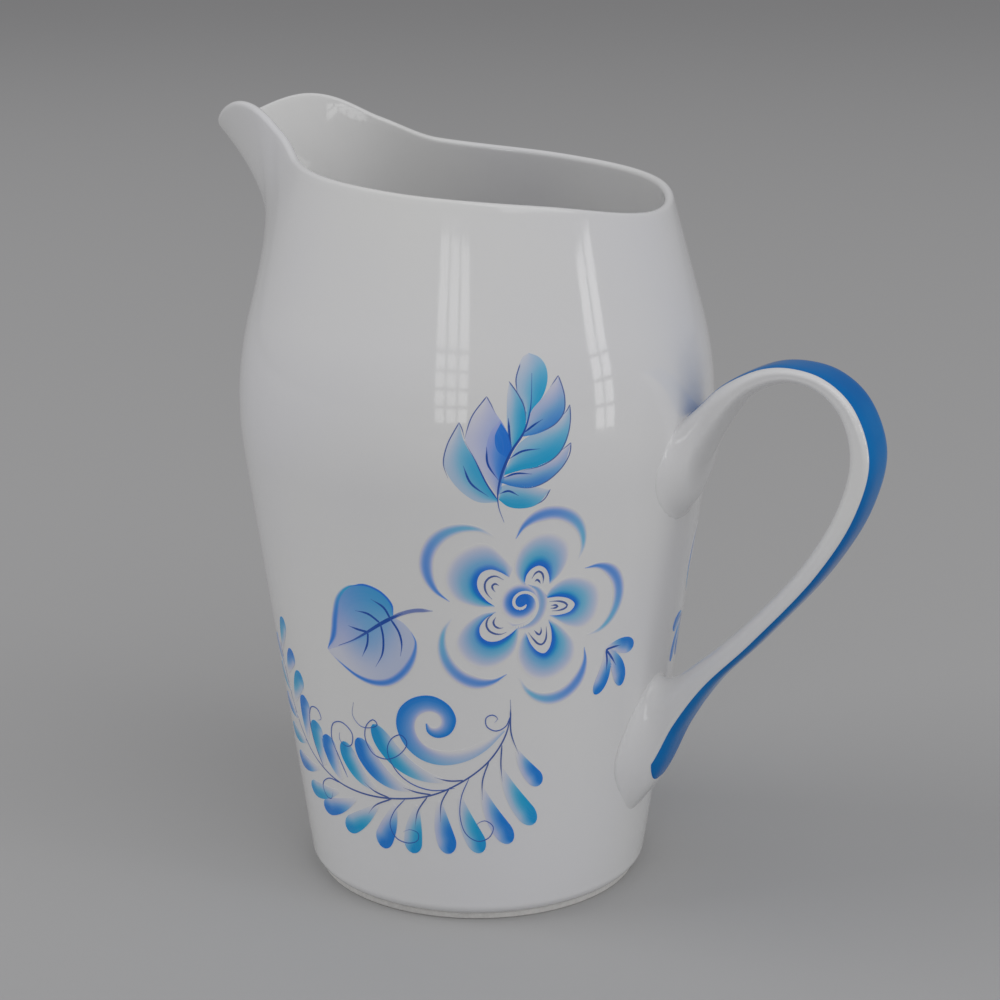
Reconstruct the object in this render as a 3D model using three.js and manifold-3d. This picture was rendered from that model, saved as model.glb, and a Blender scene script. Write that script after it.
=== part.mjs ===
import * as THREE from "three";
import { ParametricGeometry } from "three/addons/geometries/ParametricGeometry.js";
import { mergeVertices } from "three/addons/utils/BufferGeometryUtils.js";
import Module from "manifold-3d";

// A porcelain milk jug in millimetres, +Z up, with its handle towards +X and its spout towards -X.
// Heights are above the surface that it stands on. Angles, in degrees, go round its axis from the spout.

// Body: a lower and an upper cone that meet in a rounded shoulder
const baseRadius = 45.7; // lower cone, at the standing surface
const shoulderRadius = 64.2; // where the cones would meet without the rounding
const shoulderHeight = 135.7;
const shoulderRounding = 88;
const rimRadius = 48.9; // upper cone, at the rim
const rimHeight = 189.5; // halfway between handle and spout
const wallThickness = 3.6;
const floorThickness = 4.5;
const heelRounding = 3.4;
const floorRounding = 8;

// Lip: the wall thins towards it, and it climbs from the handle to the two shoulders of the spout
const lipThickness = 2.4;
const lipTaperHeight = 50;
const backDrop = 7.3; // below the rim's height, at the handle
const rearDrop = 3.3;
const rearAngle = 137;
const sideAngle = 90;
const spoutEndRise = 4; // above the rim's height, where the lip leaves the spout
const spoutEndAngle = 47.5;
const spoutFlankRise = 9.9;
const spoutFlankAngle = 29;
const spoutShoulderRise = 15.7;
const spoutShoulderAngle = 15.5;
const spoutTipRise = 7.8;

// Spout: a swelling of the upper cone that grows from its root up to the tip
const spoutReach = 79.5; // from the jug's axis
const spoutRootRise = 2.8; // above the shoulder's height
const spoutFlare = 2.45; // power of the growth with height
const spoutHalfAngle = 14.1; // the swelling has fallen to a half here
const spoutFadeStartAngle = 20;
const spoutFadeEndAngle = 52;

// Seam of the spout: half an ellipse in the front view, open at the top
const seamHalfWidth = 36;
const seamCentreRise = 9; // above the rim's height
const seamRootRise = 2; // of its lowest point, above the root of the swelling
const seamSlipWidth = 0.8;

// Foot ring
const footHeight = 1.4;
const footInset = 2.4; // from the widest part of the heel
const footWidth = 5;
const footRounding = 0.5;

// Handle: stations of its outer and inner edge, each as the distance from the body and the height.
// The first and the last station lie inside the wall.
const handleStations = [
  { outer: [-5, 126.2], inner: [-5.4, 104.2] },
  { outer: [3.7, 135.4], inner: [2.1, 109.2] },
  { outer: [9.9, 140.9], inner: [3.7, 119.7] },
  { outer: [21.6, 146.5], inner: [14.3, 137] },
  { outer: [29, 147.3], inner: [26.8, 142.8] },
  { outer: [37.4, 145.6], inner: [34.4, 141.5] },
  { outer: [44.3, 139.7], inner: [39.7, 136.1] },
  { outer: [48.9, 127.2], inner: [42.1, 126.6] },
  { outer: [47.7, 113], inner: [41.2, 115.2] },
  { outer: [41.3, 96.9], inner: [35.1, 98.8] },
  { outer: [27.3, 75.9], inner: [22, 79.6] },
  { outer: [16.6, 61.7], inner: [11.5, 67.7] },
  { outer: [10, 48.2], inner: [6.3, 62.5] },
  { outer: [5.3, 33.4], inner: [1.8, 59] },
  { outer: [-4.1, 17.7], inner: [-4.7, 55.2] },
];
const handleRootWidth = 18;
const handleTopWidth = 15;
const handleTopStation = 4;
const handleSquareness = 2.6; // power of the rounded section, where 2 is an ellipse

// Joints: pads of slip under the handle's roots, a little wider than these
const jointGap = 0.3;
const slipThickness = 0.6;
const slipSpread = 1.4;

// Enamel band on the handle's outer face, from a point at the upper root to a rounded end at the lower one
const bandThickness = 0.4;
const bandEdgeMargin = 0.5; // to the widest part of the handle
const bandTipWidth = 1.2;
const bandTaperStations = 3;
const bandEndStations = 1;

// Fineness of the surfaces
const turnSteps = 80;
const turnEvenShare = 0.5; // the rest of the steps crowd towards the spout
const heelSteps = 3;
const outerSteps = 12;
const lipSteps = 4;
const innerSteps = 9;
const floorSteps = 3;
const footSteps = 2;
const seamSteps = 20;
const blockSteps = 40;
const handleStepsPerStation = 3;
const sectionSteps = 20;
const bandSteps = 8;
const bandEndSteps = 6;
const slopeStep = 0.01;

const porcelainColour = 0xf1f1ee;
const biscuitColour = 0xe9e4da;
const enamelColour = 0x236eb6;
const glazeRoughness = 0.1;
const biscuitRoughness = 0.7;

const wasm = await Module();
wasm.setup();

const { degToRad, lerp, smoothstep } = THREE.MathUtils;

// A smooth curve through [place, value] stations, level at both ends and at each peak.
function curveThrough(stations) {
  const slopes = stations.map((station, index) => {
    if (index === 0 || index === stations.length - 1) return 0;
    const [before, after] = [stations[index - 1], stations[index + 1]];
    const rise = (station[1] - before[1]) / (station[0] - before[0]);
    const next = (after[1] - station[1]) / (after[0] - station[0]);
    return rise * next > 0 ? (2 * rise * next) / (rise + next) : 0;
  });
  return (place) => {
    const last = stations.length - 2;
    const found = stations.findIndex((station) => station[0] > place) - 1;
    const index = found < 0 ? last : found;
    const [[from, low], [to, high]] = [stations[index], stations[index + 1]];
    const span = to - from;
    const share = (place - from) / span;
    const leaving = share * (1 - share) ** 2 * span * slopes[index];
    const arriving = share ** 2 * (share - 1) * span * slopes[index + 1];
    return lerp(low, high, smoothstep(share, 0, 1)) + leaving + arriving;
  };
}

const bottomHeight = footHeight + jointGap;
const backHeight = rimHeight - backDrop;
const tipHeight = rimHeight + spoutTipRise;
const spoutRootHeight = shoulderHeight + spoutRootRise;

const lowerSlope = (shoulderRadius - baseRadius) / shoulderHeight;
const upperSlope = (rimRadius - shoulderRadius) / (rimHeight - shoulderHeight);
const lowerAngle = Math.atan(lowerSlope);
const upperAngle = Math.atan(upperSlope);
const roundingReach = shoulderRounding * Math.tan((lowerAngle - upperAngle) / 2);
const roundingStart = shoulderHeight - roundingReach * Math.cos(lowerAngle);
const roundingEnd = shoulderHeight + roundingReach * Math.cos(upperAngle);
const roundingCentreHeight = roundingStart + shoulderRounding * Math.sin(lowerAngle);
const roundingStartRadius = baseRadius + lowerSlope * roundingStart;
const roundingCentreRadius = roundingStartRadius - shoulderRounding * Math.cos(lowerAngle);

function bodyRadius(height) {
  if (height < roundingStart) return baseRadius + lowerSlope * height;
  if (height > roundingEnd) return shoulderRadius + upperSlope * (height - shoulderHeight);
  const above = height - roundingCentreHeight;
  return roundingCentreRadius + Math.sqrt(shoulderRounding ** 2 - above ** 2);
}

const lipHeightAt = curveThrough([
  [0, tipHeight],
  [spoutShoulderAngle, rimHeight + spoutShoulderRise],
  [spoutFlankAngle, rimHeight + spoutFlankRise],
  [spoutEndAngle, rimHeight + spoutEndRise],
  [sideAngle, rimHeight],
  [rearAngle, rimHeight - rearDrop],
  [180, backHeight],
]);

// How far the spout swells out of the upper cone.
function spoutSwell(angle, height) {
  const climb = Math.max(0, height - spoutRootHeight) / (tipHeight - spoutRootHeight);
  const front = (spoutReach - bodyRadius(tipHeight)) * climb ** spoutFlare;
  const side = 1 / (1 + (angle / spoutHalfAngle) ** 2);
  return front * side * (1 - smoothstep(Math.abs(angle), spoutFadeStartAngle, spoutFadeEndAngle));
}

function turned(angle, radius, height) {
  const turn = degToRad(angle);
  return new THREE.Vector3(-radius * Math.cos(turn), radius * Math.sin(turn), height);
}

function outerPoint(angle, height) {
  return turned(angle, bodyRadius(height) + spoutSwell(angle, height), height);
}

function upDirection(angle, height) {
  return outerPoint(angle, height + slopeStep).sub(outerPoint(angle, height - slopeStep)).normalize();
}

function outDirection(angle, height) {
  const round = outerPoint(angle + slopeStep, height).sub(outerPoint(angle - slopeStep, height));
  return upDirection(angle, height).cross(round).normalize();
}

function innerPoint(angle, height, lipHeight) {
  const taper = smoothstep(lipHeight - height, 0, lipTaperHeight);
  const thickness = lerp(lipThickness, wallThickness, taper);
  return outerPoint(angle, height).addScaledVector(outDirection(angle, height), -thickness);
}

// The wall's section at one angle, from the middle of the underside, over the lip, to the floor's middle.
function wallSection(angle) {
  const lipHeight = lipHeightAt(Math.abs(angle)) - lipThickness / 2;
  const heelTop = bottomHeight + heelRounding;
  const heelCentre = bodyRadius(heelTop) - heelRounding;
  const floorHeight = bottomHeight + floorThickness;
  const floorEdge = floorHeight + floorRounding;
  const points = [new THREE.Vector3(0, 0, bottomHeight)];
  for (let step = 0; step < heelSteps; step++) {
    const turn = (Math.PI / 2) * (step / heelSteps);
    const radius = heelCentre + heelRounding * Math.sin(turn);
    points.push(turned(angle, radius, heelTop - heelRounding * Math.cos(turn)));
  }
  for (let step = 0; step < outerSteps; step++)
    points.push(outerPoint(angle, lerp(heelTop, lipHeight, step / outerSteps)));
  const outside = outerPoint(angle, lipHeight);
  const inside = innerPoint(angle, lipHeight, lipHeight);
  const middle = outside.clone().add(inside).divideScalar(2);
  const across = outside.clone().sub(middle);
  const up = upDirection(angle, lipHeight).multiplyScalar(lipThickness / 2);
  for (let step = 0; step < lipSteps; step++) {
    const turn = Math.PI * (step / lipSteps);
    points.push(middle.clone().addScaledVector(across, Math.cos(turn)).addScaledVector(up, Math.sin(turn)));
  }
  for (let step = 0; step < innerSteps; step++)
    points.push(innerPoint(angle, lerp(lipHeight, floorEdge, step / innerSteps), lipHeight));
  const edge = innerPoint(angle, floorEdge, lipHeight);
  const floorCentre = Math.hypot(edge.x, edge.y) - floorRounding;
  for (let step = 0; step <= floorSteps; step++) {
    const turn = (Math.PI / 2) * (step / floorSteps);
    const radius = floorCentre + floorRounding * Math.cos(turn);
    points.push(turned(angle, radius, edge.z - floorRounding * Math.sin(turn)));
  }
  points.push(new THREE.Vector3(0, 0, floorHeight));
  return points;
}

// A surface through rows of points, rows[around][along], where the last row is the first one again.
function surfaceOf(rows) {
  const around = rows.length - 1;
  const along = rows[0].length - 1;
  const nearest = (share, steps) => Math.round(THREE.MathUtils.clamp(share, 0, 1) * steps);
  const pointAt = (u, v, target) => target.copy(rows[nearest(u, around)][nearest(v, along)]);
  return new ParametricGeometry(pointAt, around, along);
}

function solidOf(geometry) {
  const bare = geometry.clone();
  bare.deleteAttribute("normal");
  bare.deleteAttribute("uv");
  const merged = mergeVertices(bare);
  const vertProperties = merged.attributes.position.array;
  const triVerts = new Uint32Array(merged.index.array);
  return new wasm.Manifold(new wasm.Mesh({ numProp: 3, vertProperties, triVerts }));
}

function geometryOf(solid) {
  const { vertProperties, triVerts } = solid.getMesh();
  const geometry = new THREE.BufferGeometry();
  geometry.setAttribute("position", new THREE.BufferAttribute(vertProperties, 3));
  geometry.setIndex(new THREE.BufferAttribute(triVerts, 1));
  geometry.computeVertexNormals();
  return geometry;
}

function named(name, geometry, color, roughness) {
  const mesh = new THREE.Mesh(geometry, new THREE.MeshStandardMaterial({ color, roughness, metalness: 0 }));
  mesh.name = name;
  return mesh;
}

// The whole wall and floor, with the spout still in one piece with them.
function wallSolid() {
  const rows = [];
  for (let step = 0; step <= turnSteps; step++) {
    const share = 1 - (2 * step) / turnSteps;
    rows.push(wallSection(180 * (turnEvenShare * share + (1 - turnEvenShare) * share ** 3)));
  }
  return solidOf(surfaceOf(rows));
}

// A prism along X whose front view is the seam's outline, grown by a margin.
function seamPrism(margin) {
  const centreHeight = rimHeight + seamCentreRise;
  const halfWidth = seamHalfWidth + margin;
  const depth = centreHeight - spoutRootHeight - seamRootRise + margin;
  const top = rimHeight + spoutShoulderRise + lipThickness;
  const outline = new THREE.Shape();
  outline.moveTo(halfWidth, top);
  outline.lineTo(-halfWidth, top);
  outline.lineTo(-halfWidth, centreHeight);
  outline.absellipse(0, centreHeight, halfWidth, depth, Math.PI, 2 * Math.PI);
  const length = spoutReach + lipThickness;
  const prism = new THREE.ExtrudeGeometry(outline, {
    depth: length,
    bevelEnabled: false,
    curveSegments: seamSteps,
  });
  const [alongX, alongY, alongZ] = [0, 1, 2].map((axis) => new THREE.Vector3().setComponent(axis, 1));
  prism.applyMatrix4(new THREE.Matrix4().makeBasis(alongY, alongZ, alongX));
  prism.translate(-length - lipThickness, 0, 0);
  return solidOf(prism);
}

// The body's outer shape without spout and hollow, grown by a margin.
function bodyBlock(margin) {
  const profile = [new THREE.Vector2(0, bottomHeight)];
  for (let step = 0; step <= blockSteps; step++) {
    const height = lerp(bottomHeight, backHeight, step / blockSteps);
    profile.push(new THREE.Vector2(bodyRadius(height) + margin, height));
  }
  profile.push(new THREE.Vector2(0, backHeight));
  return solidOf(new THREE.LatheGeometry(profile, turnSteps).rotateX(Math.PI / 2));
}

function footRing() {
  const outer = bodyRadius(bottomHeight + heelRounding) - footInset;
  const inner = outer - footWidth;
  const outline = new THREE.Shape();
  outline.moveTo(inner + footRounding, 0);
  outline.lineTo(outer - footRounding, 0);
  outline.quadraticCurveTo(outer, 0, outer, footRounding);
  outline.lineTo(outer, footHeight);
  outline.lineTo(inner, footHeight);
  outline.lineTo(inner, footRounding);
  outline.quadraticCurveTo(inner, 0, inner + footRounding, 0);
  return new THREE.LatheGeometry(outline.getPoints(footSteps), turnSteps).rotateX(Math.PI / 2);
}

function handleEdge(side) {
  const points = handleStations.map((station) => {
    const [distance, height] = station[side];
    return new THREE.Vector3(bodyRadius(height) + distance, 0, height);
  });
  return new THREE.CatmullRomCurve3(points);
}

const lastStation = handleStations.length - 1;
const outerEdge = handleEdge("outer");
const innerEdge = handleEdge("inner");
const handleWidthAt = curveThrough([
  [0, handleRootWidth],
  [handleTopStation, handleTopWidth],
  [lastStation, handleRootWidth],
]);

// The handle's section at a station: its middle, its direction outwards and its half sizes.
function handleFrame(station) {
  const outer = outerEdge.getPoint(station / lastStation);
  const inner = innerEdge.getPoint(station / lastStation);
  const out = outer.clone().sub(inner);
  const halfDepth = out.length() / 2;
  const middle = outer.clone().add(inner).divideScalar(2);
  return { middle, out: out.normalize(), halfDepth, halfWidth: handleWidthAt(station) / 2 };
}

// A point round the rounded section, lifted off it along its normal.
function sectionPoint(frame, turn, lift) {
  const rounded = (share, power) => Math.sign(share) * Math.abs(share) ** power;
  const across = rounded(Math.cos(turn), 2 / handleSquareness);
  const outwards = rounded(Math.sin(turn), 2 / handleSquareness);
  const normal = new THREE.Vector2(
    rounded(across, handleSquareness - 1) / frame.halfWidth,
    rounded(outwards, handleSquareness - 1) / frame.halfDepth,
  ).setLength(lift);
  const point = frame.middle.clone().addScaledVector(frame.out, outwards * frame.halfDepth + normal.y);
  point.y += across * frame.halfWidth + normal.x;
  return point;
}

// A closed surface over sections in a row, with a middle point at each end.
function sweptSurface(sections, firstMiddle, lastMiddle) {
  const around = sections[0].map((_, index) => sections.map((section) => section[index]));
  return surfaceOf(around.map((row) => [firstMiddle, ...row, lastMiddle]));
}

function handleSolid(margin) {
  const sections = [];
  for (let step = 0; step <= lastStation * handleStepsPerStation; step++) {
    const frame = handleFrame(step / handleStepsPerStation);
    const section = [];
    for (let side = 0; side <= sectionSteps; side++)
      section.push(sectionPoint(frame, 2 * Math.PI * (side / sectionSteps), margin));
    sections.push(section);
  }
  return solidOf(sweptSurface(sections, handleFrame(0).middle, handleFrame(lastStation).middle));
}

const bandStart = 1;
const bandEnd = lastStation - 1;

// Half of the width that the band covers at a station.
function bandHalfWidth(station, handleHalfWidth) {
  const full = handleHalfWidth - bandEdgeMargin;
  const taper = smoothstep(station, bandStart, bandStart + bandTaperStations);
  const past = Math.max(0, station - bandEnd + bandEndStations) / bandEndStations;
  const rounded = Math.sqrt(Math.max(0, 1 - past ** 2));
  return lerp(bandTipWidth / 2, full, taper * rounded);
}

function bandSection(station) {
  const frame = handleFrame(station);
  const share = bandHalfWidth(station, frame.halfWidth) / frame.halfWidth;
  const edgeTurn = Math.acos(share ** (handleSquareness / 2));
  const turns = [];
  for (let step = 0; step <= bandSteps; step++)
    turns.push(lerp(edgeTurn, Math.PI - edgeTurn, step / bandSteps));
  const top = turns.map((turn) => sectionPoint(frame, turn, jointGap + bandThickness));
  const bottom = turns.map((turn) => sectionPoint(frame, turn, jointGap)).reverse();
  return [...top, ...bottom, top[0]];
}

function bandGeometry() {
  const stations = [];
  const roundStart = bandEnd - bandEndStations;
  for (let step = bandStart * handleStepsPerStation; step < roundStart * handleStepsPerStation; step++)
    stations.push(step / handleStepsPerStation);
  for (let step = 0; step <= bandEndSteps; step++)
    stations.push(roundStart + bandEndStations * Math.sin((Math.PI / 2) * (step / bandEndSteps)));
  const middleLift = jointGap + bandThickness / 2;
  const endMiddle = (station) => sectionPoint(handleFrame(station), Math.PI / 2, middleLift);
  return sweptSurface(stations.map(bandSection), endMiddle(bandStart), endMiddle(bandEnd));
}

function bodyPieces() {
  const wall = wallSolid();
  const slipMargin = seamSlipWidth / 2;
  const body = wall.subtract(seamPrism(slipMargin + jointGap));
  const spout = wall.intersect(seamPrism(-slipMargin - jointGap));
  const slip = wall.intersect(seamPrism(slipMargin)).subtract(seamPrism(-slipMargin));
  return [
    named("body_shell", geometryOf(body), porcelainColour, glazeRoughness),
    named("spout", geometryOf(spout), porcelainColour, glazeRoughness),
    named("spout_slip", geometryOf(slip), porcelainColour, glazeRoughness),
    named("foot_ring", footRing(), biscuitColour, biscuitRoughness),
  ];
}

function handlePieces() {
  const handle = handleSolid(0).subtract(bodyBlock(2 * jointGap + slipThickness));
  const layer = bodyBlock(jointGap + slipThickness).subtract(bodyBlock(jointGap));
  const padHeight = (pad) => pad.boundingBox().max[2];
  const pads = handleSolid(slipSpread).intersect(layer).decompose();
  const [lower, upper] = pads.sort((pad, other) => padHeight(pad) - padHeight(other));
  return [
    named("handle", geometryOf(handle), porcelainColour, glazeRoughness),
    named("upper_handle_slip", geometryOf(upper), porcelainColour, glazeRoughness),
    named("lower_handle_slip", geometryOf(lower), porcelainColour, glazeRoughness),
    named("handle_stripe", bandGeometry(), enamelColour, glazeRoughness),
  ];
}

const jug = new THREE.Group();
jug.add(...bodyPieces(), ...handlePieces());

// The origin is the middle of the jug's reach along X, on the standing surface.
const reach = new THREE.Box3().setFromObject(jug);
jug.position.x = -(reach.min.x + reach.max.x) / 2;

export default jug;
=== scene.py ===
import math

import bmesh
import bpy
import numpy as np
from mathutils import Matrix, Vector


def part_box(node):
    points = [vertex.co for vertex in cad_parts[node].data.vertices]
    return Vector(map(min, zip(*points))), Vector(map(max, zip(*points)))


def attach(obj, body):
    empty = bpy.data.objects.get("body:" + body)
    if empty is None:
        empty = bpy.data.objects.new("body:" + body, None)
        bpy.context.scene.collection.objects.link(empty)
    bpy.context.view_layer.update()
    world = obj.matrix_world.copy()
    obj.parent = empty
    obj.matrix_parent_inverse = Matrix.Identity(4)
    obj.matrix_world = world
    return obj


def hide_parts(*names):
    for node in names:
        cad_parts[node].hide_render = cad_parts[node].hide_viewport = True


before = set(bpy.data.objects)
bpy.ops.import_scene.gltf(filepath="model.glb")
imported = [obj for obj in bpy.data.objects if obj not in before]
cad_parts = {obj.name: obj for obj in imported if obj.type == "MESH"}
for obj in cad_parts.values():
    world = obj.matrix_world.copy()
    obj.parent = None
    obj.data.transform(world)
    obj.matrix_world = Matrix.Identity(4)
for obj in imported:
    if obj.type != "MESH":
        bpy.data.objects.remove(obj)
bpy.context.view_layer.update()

# A glazed porcelain milk jug with a hand-painted blue ornament.
# Sizes are in millimetres, heights are above the standing surface, and angles are in degrees round the
# jug's axis, counted from the spout, negative on the side towards the camera.

MM = 0.001  # metres
WELD_DISTANCE = 1e-8  # metres

AXIS_X = sum(corner[0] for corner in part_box("foot_ring")) / 2 / MM

# Body
BASE_RADIUS = 45.7
SHOULDER_RADIUS = 64.2
SHOULDER_HEIGHT = 135.7
SHOULDER_ROUNDING = 88.0
RIM_RADIUS = 48.9
RIM_HEIGHT = 189.5
WALL_THICKNESS = 3.6
FLOOR_THICKNESS = 4.5
HEEL_ROUNDING = 3.4
FLOOR_ROUNDING = 8.0
BOTTOM_HEIGHT = 1.7
UNDERSIDE_DOME = 1.2
FACET_DEPTH = 0.09  # the solids' flat facets lie up to this far inside the round surface

# Lip: angle from the spout and height
LIP_THICKNESS = 2.4
LIP_TAPER_HEIGHT = 50.0
LIP_STATIONS = [
    (0, 197.3), (15.5, 205.2), (29, 199.4), (47.5, 193.5), (90, 189.5), (137, 186.2), (180, 182.2),
]

# Spout
SPOUT_TIP_HEIGHT = 197.3
SPOUT_REACH = 79.5
SPOUT_ROOT_HEIGHT = 138.5
SPOUT_FLARE = 2.45
SPOUT_HALF_ANGLE = 14.1
SPOUT_FADE_ANGLES = (20, 52)

# Foot ring
FOOT_INSET = 2.4
FOOT_WIDTH = 5.0
FOOT_HEIGHT = 1.75
FOOT_ROUNDING = 0.45

# Handle: outer and inner edge as distance from the body and height
HANDLE_OUTER = [
    (-5, 126.2), (3.7, 135.4), (9.9, 140.9), (21.6, 146.5), (29, 147.3), (37.4, 145.6), (44.3, 139.7),
    (48.9, 127.2), (47.7, 113), (41.3, 96.9), (27.3, 75.9), (16.6, 61.7), (10, 48.2), (5.3, 33.4),
    (-4.1, 17.7),
]
HANDLE_INNER = [
    (-5.4, 104.2), (2.1, 109.2), (3.7, 119.7), (14.3, 137), (26.8, 142.8), (34.4, 141.5), (39.7, 136.1),
    (42.1, 126.6), (41.2, 115.2), (35.1, 98.8), (22, 79.6), (11.5, 67.7), (6.3, 62.5), (1.8, 59),
    (-4.7, 55.2),
]
LAST_STATION = len(HANDLE_OUTER) - 1
HANDLE_WIDTHS = [(0, 23), (2.2, 16.4), (4, 15), (LAST_STATION, 15.5)]
OUTER_SQUARENESS = 3.2  # of the section's half with the band, where 2 is an ellipse
INNER_SQUARENESS = 2.1
HANDLE_CROWN = 0.15  # the outer face stands this much prouder than the section
CROWN_FADE = (0.1, 0.6)  # shares of the half depth between which the crown comes in
HANDLE_GROOVE = 0.2  # depth of the soft hollow along each side
GROOVE_REACH = 0.4  # share of the half depth that the hollow takes up
UPPER_FILLET = 5.5
LOWER_FILLET = 7.5
FILLET_LOSSES = (0.9, 0.5)  # shares of the fillet that are lost at the outer and the inner edge
FILLET_FADE = (0, 0.95)  # shares of the half depth over which it is lost
ROOT_DEPTH = 2.0  # the roots reach this far into the wall

# Enamel band along the handle's outer face
BAND_START = 0.6
BAND_END = LAST_STATION - 0.98
BAND_ROUND_END = 0.09
# Where the band's edges lie: station and share of the half depth
BAND_EDGES = [(0, 0.955), (2, 0.945), (3.3, 0.87), (6.5, 0.79), (10, 0.6), (LAST_STATION, 0.63)]
BAND_TIP = 0.03  # share of its width that is left at its ends
BAND_LIFT = 0.05
BAND_SINK = 0.25
BAND_SHARP_ANGLE = 50

# Painting: a place is the distance round the body, measured at the paint's radius from halfway between
# spout and handle and growing towards the handle, and the height
PAINT_RADIUS = 60.0
PAINT_FILM = 0.02
PAINT_LAYER = 0.0006  # each later stroke lies this much higher
PAINT_SINK = 0.12
PAINT_STEP = 0.7  # spacing of the points along a stroke
PAINT_SHARP_ANGLE = 40
STREAK_SHIFT = 7.3  # each stroke's streaks lie this far from those of the one before
CANVAS_STEP = 0.2  # spacing at which the paint under a later stroke is kept
CANVAS_LOW, CANVAS_HIGH = (-60, 10), (85, 160)
FAR_TURN = 8.5  # the far side's painting sits this much nearer to the handle
FAR_DROP = 1.6  # and this much lower
NO_COVER = 1e-6  # keeps bare places from dividing by nothing

# Brush: shares of a stroke's full width or strength, shares of its length, and powers that shape it
PATH_FINENESS = 30  # points of a curve for each chosen one
LEAST_STEPS = 10  # along a stroke
LINE_TIP_WIDTH = 0.15
LINE_TIP_STRENGTH = 0.6
LINE_EDGE_POWER = 2.5
CRESCENT_TIP_WIDTH = 0.05
CRESCENT_EDGE_POWER = 1.25
CRESCENT_TAIL = (0.4, 0.85)  # where the second pigment comes in
DROP_CROWDING_POWER = 1.35  # its points crowd at the tip
DROP_ROOT_WIDTH = 0.22
DROP_TIP_WIDTH = 0.03
DROP_PALE_SIDE = 0.2
DROP_TIP_GAIN = 0.4

# Colours, linear
PORCELAIN_WHITE = (0.84, 0.84, 0.83, 1)
PORCELAIN_COOL = (0.82, 0.82, 0.835, 1)
BISCUIT = (0.79, 0.78, 0.76, 1)
BISCUIT_DARK = (0.71, 0.70, 0.68, 1)
ENAMEL = (0.006, 0.165, 0.52, 1)
ENAMEL_THIN = (0.012, 0.21, 0.58, 1)
FLOOR_COLOUR = (0.5, 0.5, 0.5, 1)
# Pigments from a thin wash to full strength
PIGMENT_STRENGTHS = (0, 0.5, 1)
PIGMENTS = {
    "blue": [(0.40, 0.36, 0.88), (0.04, 0.30, 0.87), (0.0, 0.18, 0.79)],
    "teal": [(0.36, 0.44, 0.86), (0.02, 0.49, 0.82), (0.0, 0.41, 0.76)],
    "sea": [(0.40, 0.34, 0.88), (0.03, 0.37, 0.80), (0.0, 0.165, 0.76)],
    "line": [(0.26, 0.33, 0.60), (0.11, 0.18, 0.47), (0.06, 0.12, 0.40)],
    "ink": [(0.20, 0.26, 0.64), (0.04, 0.13, 0.54), (0.0, 0.08, 0.45)],
    "white": [PORCELAIN_WHITE[:3]] * 3,
}

# Finishes: a scale is in noise cells per metre, and a spread is where a noise starts and stops to count
CLOUD_SCALE = 14
CLOUD_SPREAD = (0.35, 0.65)
GRAIN_SPREAD = (0.35, 0.7)
MOTTLE_SPREAD = (0.3, 0.7)
GLAZE_IOR = 1.52
GLAZE_ROUGHNESS = (0.05, 0.085)
GLAZE_MOTTLE_SCALE = 120
GLAZE_WAVE_SCALE = 55
GLAZE_WAVES = (0.12, 0.0002)  # strength, and depth in metres
BRISTLE_SCALES = (0.12, 2.2, 1)  # along and across a stroke, per millimetre, and from stroke to stroke
STREAK_COVER = (0.985, 1.01)
ENAMEL_CLOUD_SCALE = 45
ENAMEL_SPECULAR = 0.05
BISCUIT_GRAIN_SCALE = 900
BISCUIT_MOTTLE_SCALE = 300
BISCUIT_ROUGHNESS = (0.65, 0.85)
BISCUIT_PORE_SCALE = 1500
BISCUIT_PORES = (0.4, 0.0001)  # strength, and depth in metres


# Formulas of curves and of the shape

def ramp(value, low, high):
    """Rises smoothly from 0 to 1 between a low and a high value."""
    share = np.clip((np.asarray(value, float) - low) / (high - low), 0, 1)
    return share * share * (3 - 2 * share)


def shares(count, whole=True):
    """Even shares from 0 to 1, with 1 itself left out if not whole."""
    return np.linspace(0, 1, count, endpoint=whole)


def round_about(middle, radius, angles):
    turns = np.radians(angles)
    return middle + np.stack([radius * np.cos(turns), radius * np.sin(turns)], -1)


def curve_through(stations):
    """A smooth curve through (place, value) stations, level at both ends and at each peak."""
    places, values = (np.array(column, float) for column in zip(*stations))
    rises = np.diff(values) / np.diff(places)
    slopes = np.zeros(len(places))
    for index in range(1, len(places) - 1):
        before, after = rises[index - 1], rises[index]
        if before * after > 0:
            slopes[index] = 2 * before * after / (before + after)

    def value_at(place):
        index = np.clip(np.searchsorted(places, place, side="right") - 1, 0, len(places) - 2)
        span = places[index + 1] - places[index]
        share = (place - places[index]) / span
        blend = share * share * (3 - 2 * share)
        leaving = share * (1 - share) ** 2 * span * slopes[index]
        arriving = share**2 * (share - 1) * span * slopes[index + 1]
        return values[index] * (1 - blend) + values[index + 1] * blend + leaving + arriving

    return value_at


def curve_at(points, places):
    """Points on a smooth curve through the given ones, at places counted in points."""
    points = np.asarray(points, float)
    padded = np.vstack([2 * points[0] - points[1], points, 2 * points[-1] - points[-2]])
    index = np.clip(np.floor(places).astype(int), 0, len(points) - 2)
    share = (np.asarray(places, float) - index)[:, None]
    p0, p1, p2, p3 = (padded[index + step] for step in range(4))
    t0, t1, t2 = (np.linalg.norm(b - a, axis=1)[:, None] ** 0.5 for a, b in ((p0, p1), (p1, p2), (p2, p3)))
    leaving = ((p1 - p0) / t0 - (p2 - p0) / (t0 + t1) + (p2 - p1) / t1) * t1
    arriving = ((p2 - p1) / t1 - (p3 - p1) / (t1 + t2) + (p3 - p2) / t2) * t1
    square = 3 * (p2 - p1) - 2 * leaving - arriving
    cube = 2 * (p1 - p2) + leaving + arriving
    return p1 + leaving * share + square * share**2 + cube * share**3


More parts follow.
